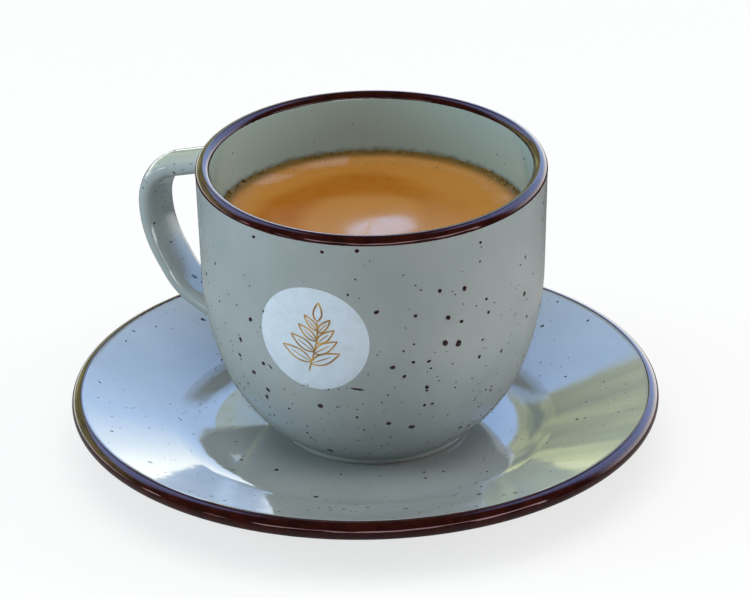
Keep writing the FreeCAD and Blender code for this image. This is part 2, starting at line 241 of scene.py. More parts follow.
def celadonGlaze(name, footHeight, filmStart=None):
    # celadon on stoneware, dipped and fired glossy: a grey-green coat with iron dust in it, painted paler and bluer
    # on the inside of the cup as painted light, and a surface that never lies quite flat, so that what it mirrors is
    # slightly bent
    material, tree = newMaterial(name)
    place = addNode(tree, "TexCoord").outputs["Object"]
    split = addNode(tree, "SeparateXYZ", {"Vector": place})
    cloud = addNode(tree, "TexNoise", {"Vector": place, "Scale": 1 / glaze["cloudSize"], "Detail": 4.0,
                                       "Roughness": 0.6})
    cloudy = addNode(tree, "MapRange", {"Value": cloud.outputs["Fac"], "From Min": 0.35, "From Max": 0.65})
    colour = addNode(tree, "Mix", {0: cloudy.outputs[0], 6: hexColour(glaze["base"]),
                                   7: hexColour(glaze["pale"])}, data_type="RGBA").outputs[2]
    dots = addNode(tree, "TexVoronoi", {"Vector": place, "Scale": 1 / glaze["dustSpacing"]})
    few = addNode(tree, "SeparateXYZ", {"Vector": dots.outputs["Color"]})  # under half of the cells hold a grain
    size = addNode(tree, "MapRange", {"Value": few.outputs[0], "From Min": 0.55, "From Max": 1.0,
                                      "To Min": 0.0, "To Max": glaze["dustGrain"]})
    grain = addNode(tree, "Math", {0: size.outputs[0], 1: dots.outputs["Distance"]}, operation="SUBTRACT")
    dust = addNode(tree, "MapRange", {"Value": grain.outputs[0], "From Min": 0.0, "From Max": 0.05,
                                      "To Min": 0.0, "To Max": 0.75})
    colour = addNode(tree, "Mix", {0: dust.outputs[0], 6: colour, 7: hexColour(glaze["dust"])},
                     data_type="RGBA").outputs[2]
    if filmStart is not None:
        ragged = addNode(tree, "TexNoise", {"Vector": place, "Scale": 1 / (2.2 * mm), "Detail": 3.0})
        lifted = addNode(tree, "MapRange", {"Value": ragged.outputs["Fac"], "To Min": -glaze["filmRagged"],
                                            "To Max": glaze["filmRagged"]})
        level = addNode(tree, "Math", {0: split.outputs["Z"], 1: lifted.outputs[0]}, operation="ADD")
        rise = addNode(tree, "MapRange", {"Value": level.outputs[0], "From Min": filmStart,
                                          "From Max": filmStart + glaze["filmHeight"], "To Min": 0.8, "To Max": 0.0})
        fromAxis = addNode(tree, "VectorMath", {0: place, 1: tuple(cupAxis)}, operation="SUBTRACT")
        flat = addNode(tree, "VectorMath", {0: fromAxis.outputs[0], 1: (1, 1, 0)}, operation="MULTIPLY")
        reach = addNode(tree, "VectorMath", {0: flat.outputs[0]}, operation="LENGTH")
        within = addNode(tree, "Math", {0: reach.outputs["Value"], 1: lipRadius - glaze["lipHalf"]},
                         operation="LESS_THAN")
        above = addNode(tree, "Math", {0: split.outputs["Z"], 1: filmStart - glaze["insideDepth"]},
                        operation="GREATER_THAN")
        inside = addNode(tree, "Math", {0: within.outputs[0], 1: above.outputs[0]}, operation="MULTIPLY")
        film = addNode(tree, "Math", {0: rise.outputs[0], 1: inside.outputs[0]}, operation="MULTIPLY")
        # painted light: the inner wall takes a paler, bluer copy of the glaze that stands in for the sky light
        # falling into the cup
        colour = addNode(tree, "Mix", {0: inside.outputs[0], 6: colour, 7: hexColour(glaze["inside"])},
                         data_type="RGBA").outputs[2]
        colour = addNode(tree, "Mix", {0: film.outputs[0], 6: colour, 7: hexColour(glaze["film"])},
                         data_type="RGBA").outputs[2]
    uneven = addNode(tree, "TexNoise", {"Vector": place, "Scale": 1 / (3 * mm)})
    wiped = addNode(tree, "Math", {0: uneven.outputs["Fac"], 1: glaze["bareRagged"]}, operation="MULTIPLY")
    edge = addNode(tree, "Math", {0: split.outputs["Z"], 1: wiped.outputs[0]}, operation="SUBTRACT")
    bareTop = footHeight + glaze["bareHeight"]
    bare = addNode(tree, "MapRange", {"Value": edge.outputs[0], "From Min": bareTop - 0.05 * mm,
                                      "From Max": bareTop + 0.05 * mm, "To Min": 1.0, "To Max": 0.0})
    colour = addNode(tree, "Mix", {0: bare.outputs[0], 6: colour, 7: hexColour(glaze["bareClay"])},
                     data_type="RGBA").outputs[2]
    gloss = addNode(tree, "MapRange", {"Value": bare.outputs[0], "To Min": glaze["gloss"],
                                       "To Max": glaze["bareGloss"]})
    wave = addNode(tree, "TexNoise", {"Vector": place, "Scale": 1 / glaze["waveSize"], "Detail": 1.0})
    bump = addNode(tree, "Bump", {"Height": wave.outputs["Fac"], "Strength": 1.0, "Distance": glaze["waveDepth"]})
    shader = addNode(tree, "BsdfPrincipled", {"Base Color": colour, "Roughness": gloss.outputs[0], "IOR": 1.52,
                                              "Normal": bump.outputs[0]})
    addNode(tree, "OutputMaterial", {"Surface": shader.outputs[0]})
    return material


ironBrown = {
    "deep": "#200b09",
    "warm": "#34130d",
    "sheen": "#ffd3dc",  # the tint of what it mirrors
    "streak": 5 * mm,
    "waveSize": 4 * mm,
    "waveDepth": 0.03 * mm,
}


def ironGlaze(name):
    # iron-saturated glaze brushed on the rims: nearly black where thick, red-brown where it runs thin, as glossy as
    # the celadon and a little wavy
    material, tree = newMaterial(name)
    place = addNode(tree, "TexCoord").outputs["Object"]
    run = addNode(tree, "TexNoise", {"Vector": place, "Scale": 1 / ironBrown["streak"], "Detail": 5.0,
                                     "Roughness": 0.65})
    thin = addNode(tree, "MapRange", {"Value": run.outputs["Fac"], "From Min": 0.4, "From Max": 0.68})
    colour = addNode(tree, "Mix", {0: thin.outputs[0], 6: hexColour(ironBrown["deep"]),
                                   7: hexColour(ironBrown["warm"])}, data_type="RGBA")
    wave = addNode(tree, "TexNoise", {"Vector": place, "Scale": 1 / ironBrown["waveSize"]})
    bump = addNode(tree, "Bump", {"Height": wave.outputs["Fac"], "Strength": 1.0, "Distance": ironBrown["waveDepth"]})
    shader = addNode(tree, "BsdfPrincipled", {"Base Color": colour.outputs[2], "Roughness": 0.07, "IOR": 1.52,
                                              "Specular IOR Level": 0.38, "Normal": bump.outputs[0],
                                              "Specular Tint": hexColour(ironBrown["sheen"])})
    addNode(tree, "OutputMaterial", {"Surface": shader.outputs[0]})
    return material


paintNode("cup", celadonGlaze("celadonGlazeCup", cupLow.z, cremaHigh.z - 0.3 * mm))  # the film starts at the foam
paintNode("saucer", celadonGlaze("celadonGlazeSaucer", saucerLow.z))
rimGlaze = ironGlaze("ironRimGlaze")
print("glazes made")


rim = {
    "lipRounding": 1.8 * mm,
    "lipOuterEnd": -8,  # degrees round the lip's section from level outwards, over the top, to the inside
    "lipInnerEnd": 170,
    "edgeRounding": 2.4 * mm,
    "edgeInnerEnd": 100,
    "edgeUnderEnd": -82,
    "proud": 0.06 * mm,
    "sunk": 0.05 * mm,  # the two ends dip into the coat below
    "waver": 3.0,  # degrees that the brushed ends wander
    "segments": 300,
    "steps": 22,
}


def rimBand(name, centre, radius, height, rounding, firstEnd, lastEnd):
    build = bmesh.new()
    rows = []
    for index in range(rim["segments"]):
        bearing = 2 * math.pi * index / rim["segments"]
        way = outwards(bearing)
        first = firstEnd + rim["waver"] * noise.noise(way * 3.1 + Vector((0, 0, 7)))
        last = lastEnd + rim["waver"] * noise.noise(way * 3.7 + Vector((0, 0, 19)))
        row = []
        for step in range(rim["steps"] + 1):
            turn = math.radians(first + (last - first) * step / rim["steps"])
            section = rounding + (-rim["sunk"] if step in (0, rim["steps"]) else rim["proud"])
            row.append(build.verts.new(centre + way * (radius + math.cos(turn) * section)
                                       + upward * (height + math.sin(turn) * section)))
        rows.append(row)
    for index, row in enumerate(rows):
        after = rows[(index + 1) % len(rows)]
        for step in range(rim["steps"]):
            build.faces.new((row[step], after[step], after[step + 1], row[step + 1]))
    return meshPiece(name, build, rimGlaze)


rimBand("cupRimBand", cupAxis, lipRadius - rim["lipRounding"], cupHigh.z - rim["lipRounding"], rim["lipRounding"],
        rim["lipOuterEnd"], rim["lipInnerEnd"])
rimBand("saucerRimBand", Vector((0, 0, 0)), saucerHigh.x - rim["edgeRounding"], saucerHigh.z - rim["edgeRounding"],
        rim["edgeRounding"], rim["edgeUnderEnd"], rim["edgeInnerEnd"])
print("rims made")


speckle = {
    "core": "#241010",
    "halo": "#5d4238",
    "faint": "#62675c",
    "cupCount": 620,
    "saucerCount": 300,
    "handleCount": 70,
    "insideCount": 42,
    "proud": 0.05 * mm,
    "smallest": 0.26 * mm,
    "spread": 0.62,  # how far the sizes scatter above the smallest
    "widest": 1.25 * mm,
    "cupFoot": 11 * mm,  # specks start above the foot
    "cupSpan": 66 * mm,  # and thin out over this height
    "underLip": 3.5 * mm,
    "crowdedBearing": -25,
    "apart": 2.2 * mm,
    "saucerZone": (29 * mm, 70 * mm),
    "strapStart": 47 * mm,
    # the largest marks on the cup: bearing in degrees, height and size in mm
    "largest": [(-59, 77, 1.1), (-32, 64, 1.1), (-23, 63, 1.3), (-29, 56, 1.3), (-24, 54, 1.0), (-30, 49, 1.6),
                (-25, 48, 1.7), (-14, 58, 0.8), (-13, 54, 0.9), (9, 46, 0.9), (-16, 42, 1.0), (-48, 44, 1.2),
                (-41, 45, 0.9), (-44, 41, 1.0), (-49, 26, 1.3), (-40, 24, 1.5), (-74, 31, 1.4), (-99, 52, 1.2),
                (-101, 36, 1.3), (-36, 31, 0.9), (-33, 31, 0.8), (-77, 13, 1.8)],
    # grains dragged into streaks: bearing, height, size, stretch and lean
    "streaks": [(-60, 37.5, 1.15, 3.1, -0.12), (-92, 40, 0.7, 2.2, -0.8)],
    # the largest marks on the saucer: bearing in degrees, radius and size in mm
    "saucerLargest": [(-24, 56, 1.5), (-68, 60, 1.2), (-60, 55, 1.0), (-63, 57, 0.9), (-58, 58, 0.8), (-20, 66, 1.2)],
}


def ironSpeckMaterial(name, core, halo):
    # iron grains that melted into the glaze: a dark core that bleeds red-brown into the coat around it
    material, tree = newMaterial(name)
    bleed = addNode(tree, "Attribute", attribute_name="bleed").outputs["Fac"]
    place = addNode(tree, "TexCoord").outputs["Object"]
    grain = addNode(tree, "TexNoise", {"Vector": place, "Scale": 1 / (0.6 * mm), "Detail": 2.0})
    spread = addNode(tree, "Math", {0: bleed, 1: grain.outputs["Fac"]}, operation="MULTIPLY")
    soft = addNode(tree, "MapRange", {"Value": spread.outputs[0], "From Min": 0.15, "From Max": 0.6})
    colour = addNode(tree, "Mix", {0: soft.outputs[0], 6: hexColour(core), 7: hexColour(halo)}, data_type="RGBA")
    shader = addNode(tree, "BsdfPrincipled", {"Base Color": colour.outputs[2], "Roughness": 0.12, "IOR": 1.52})
    addNode(tree, "OutputMaterial", {"Surface": shader.outputs[0]})
    return material


def addSpeck(build, bleed, place, size, stretch, turn, dice):
    corners = 8 if size < 0.5 * mm else 16
    long, short = size / 2 * stretch, size / 2 / math.sqrt(stretch)
    wobble = [1 + dice.uniform(-0.09, 0.09) for _ in range(corners)]
    middle = build.verts.new(place(0, 0, speckle["proud"]))
    middle[bleed] = 0.0
    rings = []
    for share, lift, value in ((0.78, speckle["proud"], 0.25), (1.0, 0.01 * mm, 1.0)):
        ring = []
        for index in range(corners):
            angle = 2 * math.pi * index / corners
            across = math.cos(angle) * long * share * wobble[index]
            along = math.sin(angle) * short * share * wobble[index]
            corner = build.verts.new(place(across * math.cos(turn) - along * math.sin(turn),
                                           across * math.sin(turn) + along * math.cos(turn), lift))
            corner[bleed] = value
            ring.append(corner)
        rings.append(ring)
    for index in range(corners):
        after = (index + 1) % corners
        build.faces.new((middle, rings[0][index], rings[0][after]))
        build.faces.new((rings[0][index], rings[1][index], rings[1][after], rings[0][after]))


def speckSize(dice):
    return min(speckle["widest"], speckle["smallest"] * math.exp(abs(dice.gauss(0, speckle["spread"]))))


def newSpecks():
    build = bmesh.new()
    return build, build.verts.layers.float.new("bleed")


darkSpeck = ironSpeckMaterial("ironSpecks", speckle["core"], speckle["halo"])
faintSpeck = ironSpeckMaterial("buriedIronSpecks", speckle["faint"], speckle["faint"])

dice = random.Random(41)
build, bleed = newSpecks()
taken = []
for bearing, height, size in speckle["largest"]:
    place = onWall(math.radians(bearing), height * mm)
    addSpeck(build, bleed, place, size * mm, dice.uniform(1.0, 1.2), dice.uniform(0, 3), dice)
    taken.append(place(0, 0, 0))
marked = list(taken)
for bearing, height, size, stretch, lean in speckle["streaks"]:
    addSpeck(build, bleed, onWall(math.radians(bearing), height * mm), size * mm, stretch, lean, dice)
while len(taken) < speckle["cupCount"]:
    bearing = dice.uniform(-math.pi, math.pi)
    height = dice.uniform(speckle["cupFoot"], cupHigh.z - speckle["underLip"])
    lower = 1 - (height - speckle["cupFoot"]) / speckle["cupSpan"]
    towards = 0.5 + 0.5 * math.cos(bearing - math.radians(speckle["crowdedBearing"]))
    if dice.random() > 0.22 + 0.5 * lower + 0.35 * towards * lower:
        continue
    spot = onWall(bearing, height)(0, 0, 0)
    underHandle = cupSurface.find_nearest(spot)[3] > 0.3 * mm
    if underHandle or min((spot - other).length for other in marked) < speckle["apart"]:
        continue
    taken.append(spot)
    addSpeck(build, bleed, onWall(bearing, height), speckSize(dice), dice.uniform(1.0, 1.35), dice.uniform(0, 3),
             dice)
meshPiece("cupSpecks", build, darkSpeck)

build, bleed = newSpecks()
for _ in range(speckle["saucerCount"]):
    bearing = dice.uniform(-math.pi, math.pi)
    radius = math.sqrt(dice.uniform(*(limit ** 2 for limit in speckle["saucerZone"])))
    addSpeck(build, bleed, onSaucer(bearing, radius), speckSize(dice) * 0.95, dice.uniform(1.0, 1.35),
             dice.uniform(0, 3), dice)
for bearing, radius, size in speckle["saucerLargest"]:
    addSpeck(build, bleed, onSaucer(math.radians(bearing), radius * mm), size * mm, 1.1, dice.uniform(0, 3), dice)
meshPiece("saucerSpecks", build, darkSpeck)

build, bleed = newSpecks()
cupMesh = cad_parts["cup"].data
strap = [p for p in cupMesh.polygons if p.center.x < cupAxis.x - speckle["strapStart"]]
for polygon in dice.choices(strap, [p.area for p in strap], k=speckle["handleCount"]):
    corners = [cupMesh.vertices[i].co for i in polygon.vertices][:3]
    first, second = sorted((dice.random(), dice.random()))
    spot = corners[0] * first + corners[1] * (second - first) + corners[2] * (1 - second)
    addSpeck(build, bleed, onFacet(spot, polygon.normal), speckSize(dice), dice.uniform(1.0, 1.3),
             dice.uniform(0, 3), dice)
meshPiece("handleSpecks", build, darkSpeck)

build, bleed = newSpecks()
for _ in range(speckle["insideCount"]):
    place = onInside(dice.uniform(-math.pi, math.pi),
                     dice.uniform(cremaHigh.z + 3 * mm, cupHigh.z - speckle["underLip"]))
    addSpeck(build, bleed, place, speckSize(dice), dice.uniform(1.0, 1.3), dice.uniform(0, 3), dice)
meshPiece("insideSpecks", build, faintSpeck)
print("specks made")


badge = {
    "bearing": -74.7,
    "height": 51 * mm,
    "radius": 14.5 * mm,
    "ground": "#c8d3de",
    "groundWarm": "#bec9d3",
    "line": "#8d6a35",
    "lineLight": "#c39a52",
    "lineWidth": 0.44 * mm,
    "slip": 0.07 * mm,  # thickness of the printed disc
    "enamel": 0.11 * mm,  # how far the drawing stands off the cup
    "rings": 14,
    "spokes": 96,
    "pairs": 4,  # of leaves on the stem
    "stemFoot": -9.2 * mm,
    "stemLength": 14.6 * mm,
    "stemBend": 1.9 * mm,
    "leafLength": 8.6 * mm,
    "leafShrink": 1.1 * mm,  # each pair is this much shorter than the one below
    "leafSlim": 0.17,  # half the leaf's width, as a share of its length
    "leafLean": 64,  # degrees from upright, for the lowest pair
    "leafLift": 8,
    "topLeaf": (5.4 * mm, 1.1 * mm),
}
badgePlace = onWall(math.radians(badge["bearing"]), badge["height"])


def printedSlip(name):
    # a disc of pale slip printed on the glaze and fired in: slightly chalkier than the coat around it, with a faint
    # screen grain
    material, tree = newMaterial(name)
    place = addNode(tree, "TexCoord").outputs["Object"]
    grain = addNode(tree, "TexNoise", {"Vector": place, "Scale": 1 / (3.5 * mm), "Detail": 6.0, "Roughness": 0.7})
    uneven = addNode(tree, "MapRange", {"Value": grain.outputs["Fac"], "From Min": 0.35, "From Max": 0.65})
    colour = addNode(tree, "Mix", {0: uneven.outputs[0], 6: hexColour(badge["ground"]),
                                   7: hexColour(badge["groundWarm"])}, data_type="RGBA")
    bump = addNode(tree, "Bump", {"Height": grain.outputs["Fac"], "Strength": 1.0, "Distance": 0.008 * mm})
    shader = addNode(tree, "BsdfPrincipled", {"Base Color": colour.outputs[2], "Roughness": 0.16, "IOR": 1.5,
                                              "Normal": bump.outputs[0]})
    addNode(tree, "OutputMaterial", {"Surface": shader.outputs[0]})
    return material


def goldenEnamel(name):
    # overglaze enamel in golden brown, drawn in a fine line: darker brown in places, thinning to ochre in others
    material, tree = newMaterial(name)
    place = addNode(tree, "TexCoord").outputs["Object"]
    flow = addNode(tree, "TexNoise", {"Vector": place, "Scale": 1 / (4 * mm), "Detail": 3.0})
    thin = addNode(tree, "MapRange", {"Value": flow.outputs["Fac"], "From Min": 0.42, "From Max": 0.64})
    colour = addNode(tree, "Mix", {0: thin.outputs[0], 6: hexColour(badge["line"]),
                                   7: hexColour(badge["lineLight"])}, data_type="RGBA")
    shader = addNode(tree, "BsdfPrincipled", {"Base Color": colour.outputs[2], "Roughness": 0.25, "IOR": 1.5})
    addNode(tree, "OutputMaterial", {"Surface": shader.outputs[0]})
    return material


build = bmesh.new()
middle = build.verts.new(badgePlace(0, 0, badge["slip"]))
rows = []
for ring in range(1, badge["rings"] + 1):
    reach = badge["radius"] * ring / badge["rings"]
    lift = badge["slip"] if ring < badge["rings"] else 0.0
    turns = [2 * math.pi * i / badge["spokes"] for i in range(badge["spokes"])]
    rows.append([build.verts.new(badgePlace(math.cos(turn) * reach, math.sin(turn) * reach, lift)) for turn in turns])
addFan(build, middle, rows)
meshPiece("paleDisc", build, printedSlip("printedSlip"))


def addLine(build, points, width):
    # a flat ribbon along points given across and up the disc, narrowing at its two ends
    rows = []
    for index, spot in enumerate(points):
        ahead = points[min(index + 1, len(points) - 1)] - points[max(index - 1, 0)]
        side = Vector((-ahead.y, ahead.x)).normalized()
        fromEnd = min(index, len(points) - 1 - index)
        half = width / 2 * (0.45 if fromEnd == 0 else 0.85 if fromEnd == 1 else 1.0)
        rows.append([build.verts.new(badgePlace(*(spot + side * half * way), badge["enamel"])) for way in (1, -1)])
    for first, second in zip(rows, rows[1:]):
        build.faces.new((first[0], first[1], second[1], second[0]))


def stemAt(share):
    return Vector((math.sin(share * 2.4 - 0.5) * badge["stemBend"] - 0.4 * mm,
                   badge["stemFoot"] + badge["stemLength"] * share))


def leafSide(root, lean, length, breadth, side, steps=14):
    ahead = Vector((math.sin(lean), math.cos(lean)))
    cross = Vector((ahead.y, -ahead.x))
    return [root + ahead * length * i / steps
            + cross * side * breadth * math.sin(math.pi * (i / steps) ** 0.8) for i in range(steps + 1)]


build = bmesh.new()
addLine(build, [stemAt(i / 24) for i in range(25)], badge["lineWidth"])
for pair in range(badge["pairs"]):
    share = 0.2 + 0.62 * pair / (badge["pairs"] - 1)
    length = badge["leafLength"] - badge["leafShrink"] * pair
    for hand in (-1, 1):
        root = stemAt(share - 0.04 * (hand > 0))
        lean = hand * math.radians(badge["leafLean"] - badge["leafLift"] * pair)
        for side in (-1, 1):
            addLine(build, leafSide(root, lean, length, length * badge["leafSlim"], side), badge["lineWidth"])
        addLine(build, leafSide(root, lean, length * 0.68, 0, 1, 6), badge["lineWidth"] * 0.7)  # the midrib
for side in (-1, 1):
    addLine(build, leafSide(stemAt(1.0), math.radians(6), *badge["topLeaf"], side), badge["lineWidth"])
meshPiece("discSprig", build, goldenEnamel("goldenEnamel"))
print("disc made")


crema = {
    "tan": "#b3792f",
    "dark": "#a25f06",
    "front": "#b6813f",
    "froth": ("#a87438", "#bf8c50"),
    "airy": "#c49b80",
    "edge": "#6f5527",
    "hole": ("#5b3512", "#7d4f22"),
    "bubble": [(0.35, "#685423"), (0.52, "#7a6430"), (0.68, "#90743e")],
    "backBearing": 126,  # degrees: where the foam stands thickest, and the way that the spots below count as back
    # spots on the foam, back and right of its middle, and the radii over which each fades, in mm
    "frontSpot": (-14, 5),
    "frontFade": (9, 28),
    "arcSpot": (0.5, -2.5),
    "arcRadius": 21,
    "arcFade": (2.5, 9),
    "wetSpot": (-5, 3),  # where the foam is thin and wet
    "wetFade": (4, 13),
    "wetRoughness": (0.12, 0.42),
    "drift": 14 * mm,  # how far stirring pushes the pattern
    "bandWidth": 6 * mm,  # the finer, paler foam next to the wall
    "bandRagged": 2 * mm,
    "dryWidth": (3.6 * mm, 0.4 * mm),
    "climb": 0.7 * mm,
    "relief": 0.06 * mm,
    "rings": 44,
    "spokes": 360,
    "overlap": 0.12 * mm,  # the foam's edge sits this far in the wall
    "bubbles": 900,
    "pinholes": 90,
    "pinholeInset": (4.2, 1.4),  # from the wall, in mm, and its scatter
}
cremaLevel = cremaHigh.z - crema["climb"]


def coffeeFoam(name):
    # crema, the foam of emulsified coffee oils: silky, with marbled arcs of darker oil, a paler band of fine froth
    # near the wall and an olive-brown line where it dries on the glaze
    material, tree = newMaterial(name)
    place = addNode(tree, "TexCoord").outputs["Object"]
    fromAxis = addNode(tree, "VectorMath", {0: place, 1: tuple(cupAxis)}, operation="SUBTRACT").outputs[0]
    drift = addNode(tree, "TexNoise", {"Vector": fromAxis, "Scale": 1 / (26 * mm), "Detail": 2.0})
    pushed = addNode(tree, "VectorMath", {0: drift.outputs["Color"], 1: (crema["drift"], crema["drift"], 0)},
                     operation="MULTIPLY")
    centred = addNode(tree, "VectorMath", {0: pushed.outputs[0], 1: (crema["drift"] / 2, crema["drift"] / 2, 0)},
                      operation="SUBTRACT")
    warped = addNode(tree, "VectorMath", {0: fromAxis, 1: centred.outputs[0]}, operation="ADD").outputs[0]
    flat = addNode(tree, "VectorMath", {0: warped, 1: (1, 1, 0)}, operation="MULTIPLY").outputs[0]
    back = outwards(math.radians(crema["backBearing"]))
    right = back.cross(upward)
    depth, across = (addNode(tree, "VectorMath", {0: flat, 1: tuple(way)}, operation="DOT_PRODUCT").outputs["Value"]
                     for way in (back, right))
    toFront, toArc, toWet = (addNode(tree, "VectorMath", {0: flat, 1: tuple((back * behind + right * beside) * mm)},
                                     operation="DISTANCE").outputs["Value"]
                             for behind, beside in (crema["frontSpot"], crema["arcSpot"], crema["wetSpot"]))
    # the pale front, then a dark arc behind it that fades to the front and to the right
    arcFromRing = addNode(tree, "Math", {0: toArc, 1: crema["arcRadius"] * mm}, operation="SUBTRACT").outputs[0]
    arcOff = addNode(tree, "Math", {0: arcFromRing}, operation="ABSOLUTE").outputs[0]
    front, arcNear, arcSide, arcFade = (
        addNode(tree, "MapRange", {"Value": value, "From Min": start * mm, "From Max": end * mm, "To Min": first,
                                   "To Max": last}, interpolation_type="SMOOTHSTEP").outputs[0]
        for value, (start, end), first, last in ((toFront, crema["frontFade"], 1.0, 0.0),
                                                 (arcOff, crema["arcFade"], 1.0, 0.0),
                                                 (depth, (-16, 4), 0.0, 1.0), (across, (4, 20), 1.0, 0.3)))
    arc = addNode(tree, "Math", {0: arcNear, 1: arcSide}, operation="MULTIPLY")
    arc = addNode(tree, "Math", {0: arc.outputs[0], 1: arcFade}, operation="MULTIPLY")
    strands = addNode(tree, "TexNoise", {"Vector": flat, "Scale": 1 / (9 * mm), "Detail": 5.0, "Distortion": 1.6})
    strand = addNode(tree, "MapRange", {"Value": strands.outputs["Fac"], "From Min": 0.35, "From Max": 0.7,
                                        "To Min": 0.75, "To Max": 1.1})
    marbled = addNode(tree, "Math", {0: arc.outputs[0], 1: strand.outputs[0]}, operation="MULTIPLY", use_clamp=True)
    # the froth: a ragged band, with airier patches in it, that dries to a line at the wall
    level = addNode(tree, "VectorMath", {0: fromAxis, 1: (1, 1, 0)}, operation="MULTIPLY")
    reach = addNode(tree, "VectorMath", {0: level.outputs[0]}, operation="LENGTH").outputs["Value"]
    froth = addNode(tree, "TexNoise", {"Vector": place, "Scale": 1 / (0.7 * mm), "Detail": 2.0})
    ragged = addNode(tree, "MapRange", {"Value": strands.outputs["Fac"], "To Min": -crema["bandRagged"],
                                        "To Max": crema["bandRagged"]})
    frothy = addNode(tree, "Math", {0: reach, 1: ragged.outputs[0]}, operation="ADD")
    bandStart = cremaRadius - crema["bandWidth"]
    band = addNode(tree, "MapRange", {"Value": frothy.outputs[0], "From Min": bandStart - 2 * mm,
                                      "From Max": bandStart + 2 * mm, "To Min": 0.0, "To Max": 0.8},
                   interpolation_type="SMOOTHSTEP")
    fineFroth = addNode(tree, "Mix", {0: froth.outputs["Fac"], 6: hexColour(crema["froth"][0]),
                                      7: hexColour(crema["froth"][1])}, data_type="RGBA").outputs[2]
    patches = addNode(tree, "TexNoise", {"Vector": warped, "Scale": 1 / (15 * mm), "Detail": 2.0, "Distortion": 0.8})
    patch = addNode(tree, "MapRange", {"Value": patches.outputs["Fac"], "From Min": 0.5, "From Max": 0.62,
                                       "To Max": 0.75})
    airy = addNode(tree, "Math", {0: patch.outputs[0], 1: band.outputs[0]}, operation="MULTIPLY")
    drying = addNode(tree, "MapRange", {"Value": reach, "From Min": cremaRadius - crema["dryWidth"][0],
                                        "From Max": cremaRadius - crema["dryWidth"][1]},
                     interpolation_type="SMOOTHSTEP")
    colour = hexColour(crema["tan"])
    for share, tone in ((front, hexColour(crema["front"])), (marbled.outputs[0], hexColour(crema["dark"])),
                        (band.outputs[0], fineFroth), (airy.outputs[0], hexColour(crema["airy"])),
                        (drying.outputs[0], hexColour(crema["edge"]))):
        colour = addNode(tree, "Mix", {0: share, 6: colour, 7: tone}, data_type="RGBA").outputs[2]
    bump = addNode(tree, "Bump", {"Height": froth.outputs["Fac"], "Strength": 1.0, "Distance": 0.02 * mm})
    matt = addNode(tree, "MapRange", {"Value": toWet, "From Min": crema["wetFade"][0] * mm,
                                      "From Max": crema["wetFade"][1] * mm, "To Min": crema["wetRoughness"][0],
                                      "To Max": crema["wetRoughness"][1]}, interpolation_type="SMOOTHSTEP")
    wet = addNode(tree, "MapRange", {"Value": toWet, "From Min": 5 * mm, "From Max": 9 * mm, "To Min": 0.95,
                                     "To Max": 0.33}, interpolation_type="SMOOTHSTEP")
    shader = addNode(tree, "BsdfPrincipled", {"Base Color": colour, "Roughness": matt.outputs[0], "IOR": 1.33,
                                              "Specular IOR Level": wet.outputs[0], "Normal": bump.outputs[0]})
    addNode(tree, "OutputMaterial", {"Surface": shader.outputs[0]})
    return material


def foamHeight(bearing, reach):
    spot = outwards(bearing) * reach
    toWall = cremaRadius - reach
    climb = crema["climb"] * math.exp(-toWall / (0.9 * mm))
    rough = noise.fractal(spot / (5 * mm), 1.0, 2.0, 3) * crema["relief"] * (0.5 + math.exp(-toWall / (6 * mm)))
    edge = noise.noise((outwards(bearing) + upward * 0.3) * 14) * 0.35 * mm * math.exp(-toWall / (0.7 * mm))
    return cremaLevel + climb + rough + edge


def onFoam(bearing, reach, lift=0.0):
    return cupAxis + outwards(bearing) * reach + upward * (foamHeight(bearing, min(reach, cremaRadius)) + lift)


build = bmesh.new()
rings, spokes = crema["rings"], crema["spokes"]
reaches = [cremaRadius * (1 - (1 - i / rings) ** 1.7) for i in range(1, rings)]  # closer together near the wall
middle = build.verts.new(cupAxis + upward * cremaLevel)
rows = [[build.verts.new(onFoam(2 * math.pi * i / spokes, reach)) for i in range(spokes)]
        for reach in reaches + [cremaRadius, cremaRadius + crema["overlap"]]]
rows.append([build.verts.new(Vector((corner.co.x, corner.co.y, cremaLow.z))) for corner in rows[-1]])
addFan(build, middle, rows)
build.faces.new(list(reversed(rows[-1])))
foam = meshPiece("cremaFoam", build, coffeeFoam("coffeeFoam"))
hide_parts("crema")


def frothBubble(name):
    # the larger bubbles that cling to the glaze: thin damp skins over coffee, olive-brown and softly shiny
    material, tree = newMaterial(name)
    place = addNode(tree, "TexCoord").outputs["Object"]
    vary = addNode(tree, "TexNoise", {"Vector": place, "Scale": 1 / (1.6 * mm), "Detail": 1.0})
    colour = addNode(tree, "ValToRGB", {"Fac": vary.outputs["Fac"]}, stops=crema["bubble"])
    shader = addNode(tree, "BsdfPrincipled", {"Base Color": colour.outputs[0], "Roughness": 0.25, "IOR": 1.34})
    addNode(tree, "OutputMaterial", {"Surface": shader.outputs[0]})
    return material


def addDome(build, centre, radius, squash=1.0, rings=4, corners=9):
    top = build.verts.new(centre + upward * radius * squash)
    rows = []
    for ring in range(1, rings + 1):
        tilt = math.pi * 0.62 * ring / rings  # a little past the widest ring, so that the foam hides the open end
        rows.append([build.verts.new(centre + outwards(2 * math.pi * i / corners) * math.sin(tilt) * radius
                                     + upward * math.cos(tilt) * radius * squash) for i in range(corners)])
    addFan(build, top, rows)


build = bmesh.new()
for _ in range(crema["bubbles"]):
    bearing = dice.uniform(-math.pi, math.pi)
    thick = max(0.0, noise.noise((outwards(bearing) + upward * 1.7) * 2.6))  # clusters here and there
    size = (0.11 + 0.20 * dice.random() ** 2.5 + thick * 0.35 * dice.random()) * mm
    inset = size * 0.7 + dice.random() ** 2 * (0.5 + thick) * mm
    stack = thick * dice.random() * 1.1 * mm if inset < 0.5 * mm else 0.0
    addDome(build, onFoam(bearing, cremaRadius - inset, stack), size)
meshPiece("foamBubbles", build, frothBubble("frothBubbles"))


